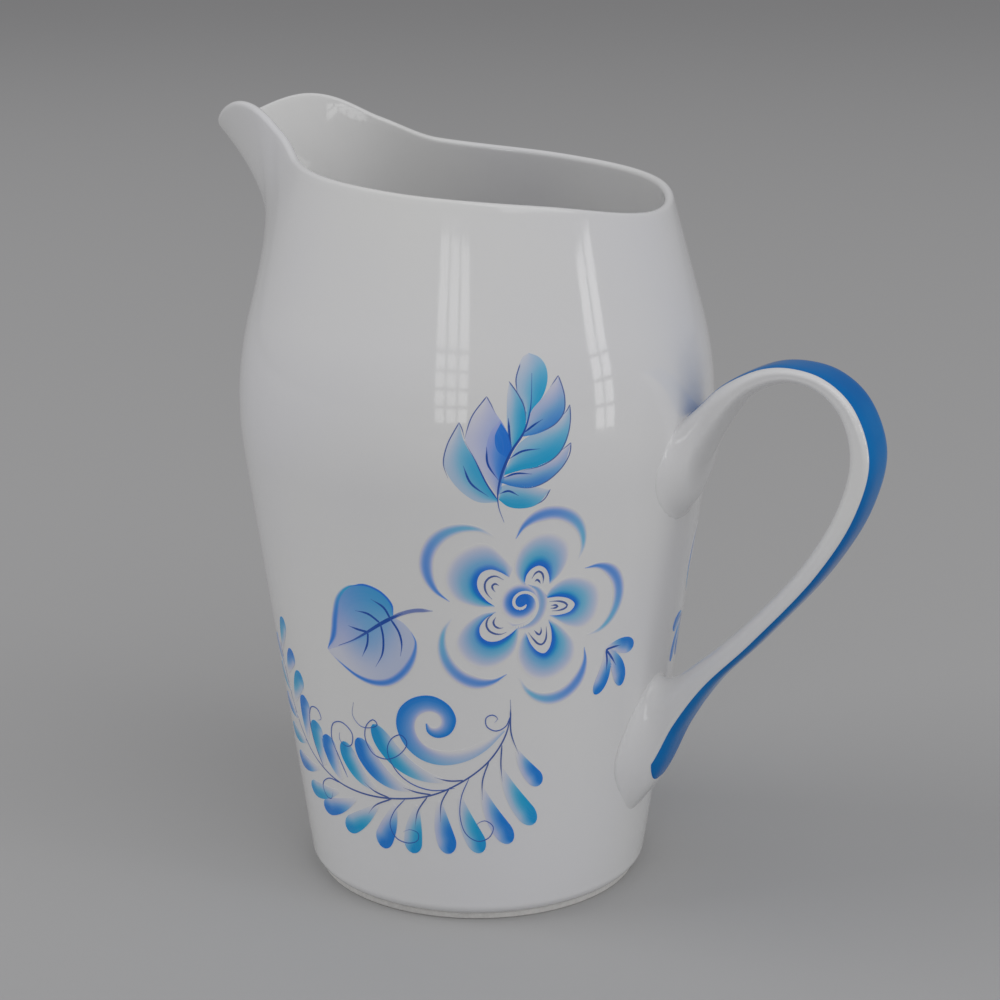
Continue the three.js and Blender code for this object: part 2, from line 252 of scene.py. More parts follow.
LOWER_SLOPE = (SHOULDER_RADIUS - BASE_RADIUS) / SHOULDER_HEIGHT
UPPER_SLOPE = (RIM_RADIUS - SHOULDER_RADIUS) / (RIM_HEIGHT - SHOULDER_HEIGHT)
LOWER_ANGLE = math.atan(LOWER_SLOPE)
UPPER_ANGLE = math.atan(UPPER_SLOPE)
ROUNDING_REACH = SHOULDER_ROUNDING * math.tan((LOWER_ANGLE - UPPER_ANGLE) / 2)
ROUNDING_START = SHOULDER_HEIGHT - ROUNDING_REACH * math.cos(LOWER_ANGLE)
ROUNDING_END = SHOULDER_HEIGHT + ROUNDING_REACH * math.cos(UPPER_ANGLE)
ROUNDING_HEIGHT = ROUNDING_START + SHOULDER_ROUNDING * math.sin(LOWER_ANGLE)
ROUNDING_RADIUS = BASE_RADIUS + LOWER_SLOPE * ROUNDING_START - SHOULDER_ROUNDING * math.cos(LOWER_ANGLE)


def body_radius(height):
    height = np.asarray(height, float)
    lower = BASE_RADIUS + LOWER_SLOPE * height
    upper = SHOULDER_RADIUS + UPPER_SLOPE * (height - SHOULDER_HEIGHT)
    inside = np.maximum(0, SHOULDER_ROUNDING**2 - (height - ROUNDING_HEIGHT) ** 2)
    rounded = ROUNDING_RADIUS + np.sqrt(inside)
    true_round = np.where(height < ROUNDING_START, lower, np.where(height > ROUNDING_END, upper, rounded))
    return true_round - FACET_DEPTH


lip_height = curve_through([(angle, height - FACET_DEPTH) for angle, height in LIP_STATIONS])
handle_width = curve_through(HANDLE_WIDTHS)
band_edge = curve_through(BAND_EDGES)


def spout_swell(angle, height):
    climb = np.maximum(0, height - SPOUT_ROOT_HEIGHT) / (SPOUT_TIP_HEIGHT - SPOUT_ROOT_HEIGHT)
    front = (SPOUT_REACH - body_radius(SPOUT_TIP_HEIGHT)) * climb**SPOUT_FLARE
    side = 1 / (1 + (angle / SPOUT_HALF_ANGLE) ** 2)
    return front * side * (1 - ramp(np.abs(angle), *SPOUT_FADE_ANGLES))


def turned(angle, radius, height):
    turn = np.radians(angle)
    return np.stack(np.broadcast_arrays(AXIS_X - radius * np.cos(turn), radius * np.sin(turn), height), -1)


def outer_point(angle, height):
    return turned(angle, body_radius(height) + spout_swell(angle, height), height)


def unit(vectors):
    return vectors / np.linalg.norm(vectors, axis=-1, keepdims=True)


def up_direction(angle, height, step=0.01):
    return unit(outer_point(angle, height + step) - outer_point(angle, height - step))


def out_direction(angle, height, step=0.01):
    around = outer_point(angle + step, height) - outer_point(angle - step, height)
    return unit(np.cross(up_direction(angle, height), around))


def inner_point(angle, height, lip):
    taper = ramp(lip - height, 0, LIP_TAPER_HEIGHT)
    thickness = LIP_THICKNESS + (WALL_THICKNESS - LIP_THICKNESS) * taper
    return outer_point(angle, height) - out_direction(angle, height) * thickness[..., None]


# Mesh building

def strip_faces(rows, columns, closed_rows=False):
    """Quads over a grid of points that is stored row by row."""
    faces = []
    for row in range(rows if closed_rows else rows - 1):
        here = row * columns
        there = (row + 1) % rows * columns
        faces += [(here + c, there + c, there + c + 1, here + c + 1) for c in range(columns - 1)]
    return faces


def new_mesh(name, vertices, faces):
    mesh = bpy.data.meshes.new(name)
    mesh.from_pydata((np.asarray(vertices) * MM).tolist(), [], faces)
    return mesh


def add_object(name, data):
    thing = bpy.data.objects.new(name, data)
    bpy.context.scene.collection.objects.link(thing)
    return thing


def add_piece(mesh, material, replaced=(), sharp_angle=None, weld=True):
    """A smooth closed piece that rides on the jug and is named as its mesh."""
    work = bmesh.new()
    work.from_mesh(mesh)
    if weld:
        bmesh.ops.remove_doubles(work, verts=work.verts, dist=WELD_DISTANCE)
    bmesh.ops.recalc_face_normals(work, faces=work.faces)
    work.to_mesh(mesh)
    work.free()
    mesh.shade_smooth()
    if sharp_angle:
        mesh.set_sharp_from_angle(angle=math.radians(sharp_angle))
    mesh.materials.append(material)
    piece = add_object(mesh.name, mesh)
    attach(piece, "root")
    if replaced:
        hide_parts(*replaced)


# Materials

def new_material(name):
    material = bpy.data.materials.new(name)
    material.use_nodes = True
    tree = material.node_tree
    return material, tree, tree.nodes["Principled BSDF"]


def connect(tree, node, inputs):
    """Sets a node's inputs, each to a value or to another node's output."""
    for key, value in inputs.items():
        if isinstance(value, bpy.types.NodeSocket):
            tree.links.new(value, node.inputs[key])
        else:
            node.inputs[key].default_value = value


def add_node(tree, kind, inputs, **settings):
    node = tree.nodes.new("ShaderNode" + kind)
    for name, value in settings.items():
        setattr(node, name, value)
    connect(tree, node, inputs)
    return node


def noise(tree, scale, detail=2.0, place=None):
    if place is None:
        place = add_node(tree, "TexCoord", {}).outputs["Object"]
    return add_node(tree, "TexNoise", {"Vector": place, "Scale": scale, "Detail": detail}).outputs["Fac"]


def ranged(tree, value, spread, limits=(0, 1)):
    """Goes from one limit to the other where the value crosses its spread."""
    names = ("Value", "From Min", "From Max", "To Min", "To Max")
    return add_node(tree, "MapRange", dict(zip(names, (value, *spread, *limits)))).outputs["Result"]


def mixed(tree, factor, first, second):
    """A colour between two."""
    return add_node(tree, "Mix", {"Factor": factor, 6: first, 7: second}, data_type="RGBA").outputs[2]


def bumps(tree, height, strength, depth):
    inputs = {"Height": height, "Strength": strength, "Distance": depth}
    return add_node(tree, "Bump", inputs).outputs["Normal"]


def porcelain_colour(tree):
    """White with broad, faintly cool clouds."""
    clouds = ranged(tree, noise(tree, CLOUD_SCALE), CLOUD_SPREAD)
    return mixed(tree, clouds, PORCELAIN_WHITE, PORCELAIN_COOL)


def glaze(tree, shader, colour):
    """Glass-like gloss with the faint waviness of a fired glaze."""
    roughness = ranged(tree, noise(tree, GLAZE_MOTTLE_SCALE), MOTTLE_SPREAD, GLAZE_ROUGHNESS)
    waves = bumps(tree, noise(tree, GLAZE_WAVE_SCALE, detail=1.5), *GLAZE_WAVES)
    connect(tree, shader, {"Base Color": colour, "Roughness": roughness, "IOR": GLAZE_IOR, "Normal": waves})


def porcelain_material():
    material, tree, shader = new_material("glazed_porcelain")
    glaze(tree, shader, porcelain_colour(tree))
    return material


def painted_material():
    """Pigment under the glaze. The mesh says which pigment and how much, and bristles streak it."""
    material, tree, shader = new_material("painted_porcelain")
    paint = add_node(tree, "Attribute", {}, attribute_name="paint").outputs
    place = add_node(tree, "Attribute", {}, attribute_name="brush_place").outputs["Vector"]
    stretched = add_node(tree, "VectorMath", {0: place, 1: BRISTLE_SCALES}, operation="MULTIPLY").outputs[0]
    streaks = ranged(tree, noise(tree, 1.0, detail=3, place=stretched), MOTTLE_SPREAD, STREAK_COVER)
    factors = {0: paint["Alpha"], 1: streaks}
    cover = add_node(tree, "Math", factors, operation="MULTIPLY", use_clamp=True).outputs[0]
    glaze(tree, shader, mixed(tree, cover, porcelain_colour(tree), paint["Color"]))
    return material


def enamel_material():
    material, tree, shader = new_material("blue_enamel")
    clouds = ranged(tree, noise(tree, ENAMEL_CLOUD_SCALE, detail=4), GRAIN_SPREAD)
    glaze(tree, shader, mixed(tree, clouds, ENAMEL, ENAMEL_THIN))
    connect(tree, shader, {"Specular IOR Level": ENAMEL_SPECULAR})
    return material


def biscuit_material():
    material, tree, shader = new_material("unglazed_biscuit")
    grain = ranged(tree, noise(tree, BISCUIT_GRAIN_SCALE, detail=4), GRAIN_SPREAD)
    colour = mixed(tree, grain, BISCUIT, BISCUIT_DARK)
    roughness = ranged(tree, noise(tree, BISCUIT_MOTTLE_SCALE), MOTTLE_SPREAD, BISCUIT_ROUGHNESS)
    pores = bumps(tree, noise(tree, BISCUIT_PORE_SCALE, detail=3), *BISCUIT_PORES)
    connect(tree, shader, {"Base Color": colour, "Roughness": roughness, "Normal": pores})
    return material


# Jug body with its spout

def jug_body(material, turns=360, underside_rows=8, heel_rows=10, wall_rows=130, lip_rows=12,
             floor_rows=10, centre_rows=4, crowding=0.38):
    """The wall as rows from the underside over the lip to the floor inside, crowded at the spout."""
    even = np.linspace(-1, 1, turns, endpoint=False)
    angle = 180 * ((1 - crowding) * even + crowding * even**3)
    lip = lip_height(np.abs(angle)) - LIP_THICKNESS / 2
    heel_top = BOTTOM_HEIGHT + HEEL_ROUNDING
    heel_centre = float(body_radius(heel_top)) - HEEL_ROUNDING
    floor_edge = BOTTOM_HEIGHT + FLOOR_THICKNESS + FLOOR_ROUNDING
    recess = float(body_radius(heel_top)) - FOOT_INSET - FOOT_WIDTH
    share = shares(underside_rows)[:, None]
    underside = turned(angle, recess * share, BOTTOM_HEIGHT + UNDERSIDE_DOME * (1 - share**2))
    turn = math.pi / 2 * shares(heel_rows, whole=False)[:, None]
    heel_radius = heel_centre + HEEL_ROUNDING * np.sin(turn)
    heel = turned(angle, heel_radius, heel_top - HEEL_ROUNDING * np.cos(turn))
    share = shares(wall_rows, whole=False)[:, None]
    outer_wall = outer_point(angle, heel_top + (lip - heel_top) * share)
    inner_wall = inner_point(angle, lip + (floor_edge - lip) * share, lip)
    outside = outer_point(angle, lip)
    middle = (outside + inner_point(angle, lip, lip)) / 2
    turn = math.pi * shares(lip_rows, whole=False)[:, None, None]
    rise = up_direction(angle, lip) * (LIP_THICKNESS / 2 * np.sin(turn))
    lip_edge = middle + (outside - middle) * np.cos(turn) + rise
    edge = inner_point(angle, floor_edge + 0 * lip, lip)
    edge_radius = np.hypot(edge[:, 0] - AXIS_X, edge[:, 1])
    turn = math.pi / 2 * shares(floor_rows)[:, None]
    rounding_radius = edge_radius - FLOOR_ROUNDING * (1 - np.cos(turn))
    rounding = turned(angle, rounding_radius, edge[:, 2] - FLOOR_ROUNDING * np.sin(turn))
    share = np.linspace(1, 0, centre_rows + 1)[1:, None]
    inner_floor = turned(angle, (edge_radius - FLOOR_ROUNDING) * share, edge[:, 2] - FLOOR_ROUNDING)
    rows = np.concatenate([underside, heel, outer_wall, lip_edge, inner_wall, rounding, inner_floor])
    faces = strip_faces(turns, len(rows), closed_rows=True)
    mesh = new_mesh("jug_body", np.swapaxes(rows, 0, 1).reshape(-1, 3), faces)
    add_piece(mesh, material, ("body_shell", "spout", "spout_slip"))


def foot_ring(material, turns=240, corner_steps=6):
    outer = float(body_radius(BOTTOM_HEIGHT + HEEL_ROUNDING)) - FOOT_INSET
    inner = outer - FOOT_WIDTH
    bottom, top = FOOT_ROUNDING, FOOT_HEIGHT - FOOT_ROUNDING
    outside, inside = outer - FOOT_ROUNDING, inner + FOOT_ROUNDING
    corners = [(outside, bottom, -90), (outside, top, 0), (inside, top, 90), (inside, bottom, 180)]
    arcs = [
        round_about((radius, height), FOOT_ROUNDING, np.linspace(start, start + 90, corner_steps))
        for radius, height, start in corners
    ]
    profile = np.concatenate([*arcs, arcs[0][:1]])
    angle = np.linspace(0, 360, turns, endpoint=False)
    points = turned(angle[:, None], profile[:, 0], profile[:, 1])
    faces = strip_faces(turns, len(profile), closed_rows=True)
    mesh = new_mesh("foot_ring_biscuit", points.reshape(-1, 3), faces)
    add_piece(mesh, material, ("foot_ring",))


# Handle

def handle_edge(stations, places):
    points = [(AXIS_X + float(body_radius(height)) + distance, height) for distance, height in stations]
    return curve_at(points, places)


def wall_direction(points, step=0.1):
    """The body wall's outward direction beside given points, and their distance from the wall."""
    radial = points - np.stack(np.broadcast_arrays(AXIS_X, 0, points[..., 2]), -1)
    radius = np.hypot(radial[..., 0], radial[..., 1])
    slope = (body_radius(points[..., 2] + step) - body_radius(points[..., 2] - step)) / (2 * step)
    direction = unit(np.stack([radial[..., 0], radial[..., 1], -slope * radius], -1))
    return direction, radius - body_radius(points[..., 2])


def handle_point(places, turns, lift):
    """Points of the handle's surface for rows of places and columns of turns round its section."""
    outer = handle_edge(HANDLE_OUTER, places)
    inner = handle_edge(HANDLE_INNER, places)
    middle = ((outer + inner) / 2)[:, None, :]
    half_depth = np.linalg.norm(outer - inner, axis=1)[:, None] / 2
    out = ((outer - inner) / (2 * half_depth))[:, None, :]
    half_width = handle_width(places)[:, None] / 2
    squareness = np.where(np.sin(turns) > 0, OUTER_SQUARENESS, INNER_SQUARENESS)

    def rounded(share, power):
        return np.sign(share) * np.abs(share) ** power

    across = rounded(np.cos(turns), 2 / squareness)
    outwards = rounded(np.sin(turns), 2 / squareness)
    normal_across = rounded(across, squareness - 1) / half_width
    normal_out = rounded(outwards, squareness - 1) / half_depth
    normal = unit(np.stack([out[..., 0] * normal_out, normal_across, out[..., 1] * normal_out], -1))
    flat = middle + out * (outwards * half_depth)[..., None]
    section = np.stack([flat[..., 0], across * half_width, flat[..., 1]], -1)
    crown = HANDLE_CROWN * ramp(outwards, *CROWN_FADE)
    groove = HANDLE_GROOVE * np.exp(-((outwards / GROOVE_REACH) ** 2))
    bare = section + normal * (crown - groove)[..., None]
    wall, clear = wall_direction(bare)
    bare = bare + wall * np.maximum(0, -ROOT_DEPTH - clear)[..., None]
    radius = np.where(places < LAST_STATION / 2, UPPER_FILLET, LOWER_FILLET)[:, None]
    short = np.clip(radius - clear, 0, radius)
    fillet = radius - np.sqrt(radius**2 - short**2)
    for loss, edgewards in zip(FILLET_LOSSES, (outwards, -outwards)):
        fillet = fillet * (1 - loss * ramp(edgewards, *FILLET_FADE))
    along_wall = normal - wall * np.sum(normal * wall, axis=-1, keepdims=True)
    return bare + along_wall * fillet[..., None] + normal * lift


def handle(material, rows_per_station=40, section_steps=128):
    places = np.linspace(0, LAST_STATION, LAST_STATION * rows_per_station + 1)
    turns = np.linspace(0, 2 * math.pi, section_steps, endpoint=False)[None, :] + 0 * places[:, None]
    points = handle_point(places, turns, 0.0)
    points = np.concatenate([points, points[:, :1]], axis=1)
    columns = section_steps + 1
    faces = strip_faces(len(places), columns)
    faces.append(tuple(range(section_steps)))
    last = (len(places) - 1) * columns
    faces.append(tuple(range(last, last + section_steps)))
    mesh = new_mesh("handle_strap", points.reshape(-1, 3), faces)
    add_piece(mesh, material, ("handle", "upper_handle_slip", "lower_handle_slip"))


def closed_shell(top, bottom):
    """Vertices and faces of a thin closed sheet between two grids of points."""
    rows, columns = top.shape[:2]
    under = rows * columns
    faces = strip_faces(rows, columns)
    faces += [tuple(under + corner for corner in reversed(face)) for face in strip_faces(rows, columns)]
    index = np.arange(under).reshape(rows, columns)
    rim = np.concatenate([index[:, 0], index[-1, 1:], index[-2::-1, -1], index[0, -2:0:-1]]).tolist()
    for here, there in zip(rim, rim[1:] + rim[:1]):
        faces.append((here, here + under, there + under, there))
    return np.concatenate([top.reshape(-1, 3), bottom.reshape(-1, 3)]), faces


def handle_band(material, rows=320, end_rows=40, columns=28):
    straight = np.linspace(BAND_START + BAND_ROUND_END, BAND_END - BAND_ROUND_END, rows)
    past = np.sin(np.linspace(0, math.pi / 2, end_rows))[1:]
    end = BAND_ROUND_END * past
    places = np.concatenate([straight[0] - end[::-1], straight, straight[-1] + end])
    rounding = np.sqrt(1 - past**2)
    width = np.concatenate([rounding[::-1], np.ones(rows), rounding])
    edge = np.arcsin(band_edge(places) ** (OUTER_SQUARENESS / 2))
    edge = np.arccos(np.cos(edge) * np.maximum(width, BAND_TIP) ** (OUTER_SQUARENESS / 2))
    turns = edge[:, None] + (math.pi - 2 * edge)[:, None] * shares(columns)
    top = handle_point(places, turns, BAND_LIFT)
    bottom = handle_point(places, turns, -BAND_SINK)
    mesh = new_mesh("handle_band", *closed_shell(top, bottom))
    add_piece(mesh, material, ("handle_stripe",), BAND_SHARP_ANGLE)


# Brush strokes, each a grid of places with its pigment and its strength

def lengths_along(points):
    steps = np.linalg.norm(np.diff(points, axis=0), axis=1)
    return np.concatenate([[0], np.cumsum(steps)])


def smooth_path(points, steps=None):
    """Evenly spaced points along a smooth curve through a few chosen ones."""
    dense = curve_at(points, np.linspace(0, len(points) - 1, PATH_FINENESS * len(points)))
    lengths = lengths_along(dense)
    steps = steps or max(LEAST_STEPS, math.ceil(lengths[-1] / PAINT_STEP))
    even = np.linspace(0, lengths[-1], steps + 1)
    return np.stack([np.interp(even, lengths, dense[:, axis]) for axis in (0, 1)], 1)


def ribbon(path, half_width, columns):
    """Places across a path, and their shares of the half width, counted to the left."""
    ahead = unit(np.gradient(path, axis=0))
    left = np.stack([-ahead[:, 1], ahead[:, 0]], 1)
    across = np.linspace(-1, 1, columns)
    return path[:, None] + left[:, None] * (half_width[:, None] * across)[..., None], across


def grown(low, share):
    """Grows from a low value to 1 with a share."""
    return low + (1 - low) * share


def stroke(grid, strength, tint, second=None, share=0.0):
    """A film of paint: its places, how strong it is and its pigment, which may turn into a second one."""
    share = np.broadcast_to(share, strength.shape)
    return {"grid": grid, "strength": strength, "share": share, "tints": (tint, second or tint)}


def line(points, width, strength=0.95, fade=(0.15, 0.3), soft=0.15, tint="line", columns=5):
    """A stroke of the brush's tip that starts and ends thin."""
    path = smooth_path(points)
    along = shares(len(path))
    press = ramp(along, -0.02, fade[0]) * ramp(1 - along, -0.02, fade[1])
    grid, across = ribbon(path, width / 2 * grown(LINE_TIP_WIDTH, press), columns)
    edge = 1 - soft * np.abs(across) ** LINE_EDGE_POWER
    return stroke(grid, strength * grown(LINE_TIP_STRENGTH, press)[:, None] * edge, tint)


def crescent(points, width, strengths, tint, swell=0.35, ending=0.65, tail=None, columns=13):
    """A broad, soft stroke that starts pointed and runs out thin, its tail in a second pigment."""
    path = smooth_path(points)
    along = shares(len(path))
    press = ramp(along, -0.04, swell) * ramp(1 - along, -0.1, ending)
    grid, across = ribbon(path, width / 2 * grown(CRESCENT_TIP_WIDTH, press), columns)
    fading = ramp(1 - along, -0.02, 0.2) * ramp(along, -0.06, 0.06)
    edge = (1 - across**2) ** CRESCENT_EDGE_POWER
    depth = (np.interp(along, (0, 1), strengths) * fading)[:, None] * edge
    return stroke(grid, depth, tint, tail, ramp(along, *CRESCENT_TAIL)[:, None])


def patch(dark_edge, light_edge, tint, depth, second=None, turning=None, columns=14, steps=36):
    """A filled shape between two edges. depth gives the strength from along and across shares, and turning
    the share of a second pigment."""
    first, last = smooth_path(dark_edge, steps), smooth_path(light_edge, steps)
    along, across = shares(steps + 1)[:, None], shares(columns)[None, :]
    grid = first[:, None] * (1 - across[..., None]) + last[:, None] * across[..., None]
    strength = np.broadcast_to(np.clip(depth(along, across), 0, 1), grid.shape[:2])
    return stroke(grid, strength, tint, second, turning(along, across) if turning else 0.0)


def drop(root, tip, width, bend, tint, full=0.77, columns=13, steps=28):
    """A drop-shaped dab that is pulled from its full, dark tip to its thin root."""
    root, tip = np.array(root, float), np.array(tip, float)
    side = np.array([root[1] - tip[1], tip[0] - root[0]]) / np.linalg.norm(tip - root)
    along = 1 - (1 - shares(steps + 1)) ** DROP_CROWDING_POWER
    sag = (4 * along * (1 - along))[:, None]
    path = root + (tip - root) * along[:, None] + side * bend * sag
    growing = grown(DROP_ROOT_WIDTH, np.sin(math.pi / 2 * np.clip(along / full, 0, 1)))
    rounding = np.sqrt(np.clip(1 - ((along - full) / (1 - full)) ** 2, 0, 1))
    half = width / 2 * np.maximum(DROP_TIP_WIDTH, np.where(along < full, growing, rounding))
    grid, across = ribbon(path, half, columns)
    pulled = ramp(along, -0.1, 0.68)[:, None]
    sided = ramp(across, -1.1, 0.8)[None, :]
    depth = pulled * grown(DROP_PALE_SIDE, sided) + DROP_TIP_GAIN * ramp(along, 0.7, 1)[:, None]
    if tint == "blue":
        second, share = "teal", 0.22 + 0.45 * (1 - ramp(along, 0.1, 0.6))
    else:
        second, share = "blue", 0.3 * ramp(along, 0.55, 1)
    return stroke(grid, np.clip(depth, 0, 1), tint, second, share[:, None])


# Ornament

# Lobes of the serrated leaf from base to tip: pigment, full strength, dark edge, light edge
LEAF_LOBES = [
    ("teal", 0.8, [(35.7, 118), (33.2, 122), (30.2, 128.4), (28, 132.6), (26.9, 136.8)],
     [(35.7, 117.4), (31, 117.6), (26, 121.6), (23.4, 127), (24.2, 131.6), (26.9, 136.8)]),
    ("blue", 0.52, [(36, 119.4), (37.6, 126), (38.5, 131.4), (37.4, 135.6), (35, 139.6), (33.2, 142.9)],
     [(35.6, 119), (32.8, 123.6), (30.5, 128.3), (28.3, 133), (29.8, 138.4), (33.2, 142.9)]),
    ("blue", 0.8, [(36, 122.6), (37.2, 126.6), (38.3, 130.6), (37.9, 134.4), (36.3, 137.6)],
     [(36, 122.6), (33.8, 126), (33, 130.2), (34, 134.6), (36.3, 137.6)]),
    ("teal", 0.9, [(39.2, 130.6), (41.4, 134.2), (42.2, 137), (41.8, 140.5), (40.3, 143.7), (38.5, 146.3)],
     [(38.4, 129.6), (37.9, 134.6), (37.8, 140), (38, 143.6), (38.5, 146.3)]),
    ("teal", 0.9, [(36, 118), (38.2, 116.2), (41.6, 115.6), (45, 116.4), (48, 119.9)],
     [(36, 118.6), (36.6, 121.4), (40, 121.6), (44, 121), (48, 119.9)]),
    ("sea", 0.8, [(36.3, 122.4), (39.2, 121.3), (43.3, 120.7), (47.4, 122.3), (50.9, 125.4), (52.9, 131)],
     [(36.5, 123.4), (41, 125), (45, 126.2), (48.6, 127.7), (50.4, 129.5), (52.9, 131)]),
    ("teal", 0.95, [(37.2, 124.2), (41, 125.3), (46.2, 126.2), (49.9, 128.6), (52.2, 132.8), (52.8, 140)],
     [(37.6, 126), (40.6, 131.8), (45.6, 134.9), (49.4, 136.8), (51.2, 138.4), (52.8, 140)]),
    ("sea", 0.75, [(41.2, 133.4), (45, 134), (48.8, 135.7), (51.3, 138.4), (51.7, 142.4), (50.3, 147)],
     [(41.6, 134.6), (43.4, 139.4), (46.3, 142.5), (48.3, 144.9), (50.3, 147)]),
    ("teal", 0.82,
     [(42.4, 136.6), (43.6, 139.6), (46.2, 142.6), (47.6, 146.6), (47.3, 149.8), (45.8, 151.8),
      (43.4, 152.8)],
     [(42.4, 136.6), (41.6, 140.6), (40.3, 143.6), (40.1, 147), (40.9, 150), (41.9, 151.9), (43.4, 152.8)]),
]
# A deep spot in its middle: dark edge, light edge
LEAF_SPOT = [
    [(38, 128.2), (38.8, 131), (38.2, 133.8), (36.4, 136.9)],
    [(38, 128.2), (35.6, 130.2), (35, 133.6), (36.4, 136.9)],
]
# Outlines of its lobes, up to their tips and back from them
LEAF_OUTLINES = [
    [(24.3, 123.4), (23.3, 127), (24.2, 131.6), (26.9, 137)], [(28.1, 133), (29.8, 138.4), (33.2, 143.1)],
    [(42.2, 136.8), (41.8, 140.5), (40.3, 143.7), (38.4, 146.5)],
    [(40, 121.1), (43.4, 120.8), (47.2, 122.2), (50.8, 125.4), (52.6, 128.6), (52.9, 131.2)],
    [(40, 125), (46, 126.2), (49.8, 128.7), (52, 132.8), (52.8, 136.6), (52.8, 140.3)],
    [(43, 133.7), (48.8, 135.8), (51.2, 138.6), (51.6, 142), (51.2, 144.4), (50.3, 147.3)],
    [(44.5, 116.2), (46.7, 117.6), (48.1, 120.1)], [(40.3, 143.6), (40.1, 147), (41.2, 150.4)],
]
LEAF_RETURNS = [
    [(26.9, 137), (27.6, 135.4), (28.1, 133.2)], [(33.2, 143.1), (34.2, 141.2), (35.3, 138.8)],
    [(52.9, 131.2), (51.8, 130.4), (50.4, 129.4)], [(52.8, 140.3), (52, 139), (50.9, 137.9)],
    [(50.3, 147.3), (49.4, 146.2), (48.2, 144.8)],
]
# A fold along its lowest lobe, its veins and its midrib
LEAF_FOLD = [(35.7, 118), (33.2, 122), (30.3, 128.4), (28.1, 132.6)]
LEAF_VEINS = [
    [(27.8, 126.6), (29.5, 122.3), (33.6, 118.9)], [(33.1, 131.2), (33.4, 127), (35.8, 123)],
    [(38.1, 138), (38.4, 133.5), (38.9, 130.6)], [(36.2, 119.6), (38.2, 120.2), (40.6, 118.9)],
    [(36.9, 123.5), (39.8, 124.5), (43.6, 124.2)], [(38.3, 128.2), (41.2, 129.9), (45.4, 130.3)],
    [(41.4, 134.1), (43.9, 136), (46.2, 137.4)],
]
LEAF_MIDRIB = [
    (37.3, 112.2), (36, 116), (35.7, 119.5), (36.6, 124.5), (38.8, 130), (41.6, 134.4), (43.2, 139.6),
    (43.9, 148.2),
]


def serrated_leaf():
    def shaded(full):
        def shade(along, across):
            paling = 1 - 0.64 * ramp(across, 0.05, 1)
            return full * paling * (1 - 0.66 * ramp(along, 0.4, 1))

        return shade

    def spot_shade(along, across):
        return 1 - 0.12 * across - 0.15 * along

    strokes = [patch(dark, light, tint, shaded(full)) for tint, full, dark, light in LEAF_LOBES]
    strokes.append(patch(*LEAF_SPOT, "blue", spot_shade))
    strokes += [line(points, 0.28, 0.8, fade=(0.35, 0.05)) for points in LEAF_OUTLINES]
    strokes += [line(points, 0.24, 0.7, fade=(0.05, 0.6)) for points in LEAF_RETURNS]
    strokes.append(line(LEAF_FOLD, 0.36, 0.85, fade=(0.1, 0.6), tint="ink"))
    strokes += [line(points, 0.5, 1.0, fade=(0.3, 0.5), tint="ink") for points in LEAF_VEINS]
    strokes.append(line(LEAF_MIDRIB, 0.66, 1.0, fade=(0.4, 0.6), tint="ink"))
    return strokes


# Flower, with an eye and a white spiral in its middle
FLOWER_CENTRE = np.array([42.0, 90.8])
EYE_CENTRE = FLOWER_CENTRE + (-0.3, 0.3)
EYE_RADII = (0.05, 5)
SPIRAL_START = -20
SPIRAL_TURN = -456
SPIRAL_RADIUS = 1.45
SPIRAL_GROWTH = 5.4
SPIRAL_POWER = 2.4
